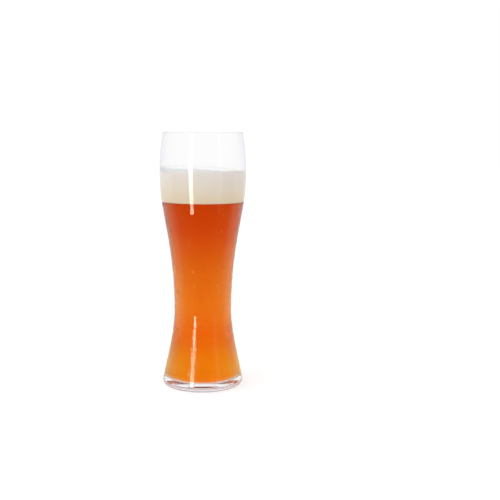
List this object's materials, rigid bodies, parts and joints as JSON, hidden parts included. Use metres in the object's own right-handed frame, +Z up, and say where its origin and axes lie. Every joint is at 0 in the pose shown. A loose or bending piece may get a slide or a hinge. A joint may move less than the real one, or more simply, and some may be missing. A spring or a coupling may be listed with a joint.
{
  "type": "weizen glass",
  "caption": "Tall waisted wheat-beer glass with a wide bowl and a thick clear foot, filled with amber beer under a deep head of foam.",
  "frame": {"origin": "centre of the ring that the glass stands on, at table height", "axes": "+Z up along the glass's axis; the foam's top is a little higher towards -X"},
  "size_m": [0.0812, 0.0812, 0.24],
  "materials": {
    "clear_glass": "clear polished crystal glass with fine condensation on the outside",
    "wheat_beer": "cloudy amber wheat beer, brighter and yellower towards the foot",
    "beer_foam": "dense creamy foam of fine bubbles, matte"
  },
  "bodies": {
    "root": {"glass": "clear_glass", "beer": "wheat_beer", "foam_head": "beer_foam"}
  },
  "joints": []
}
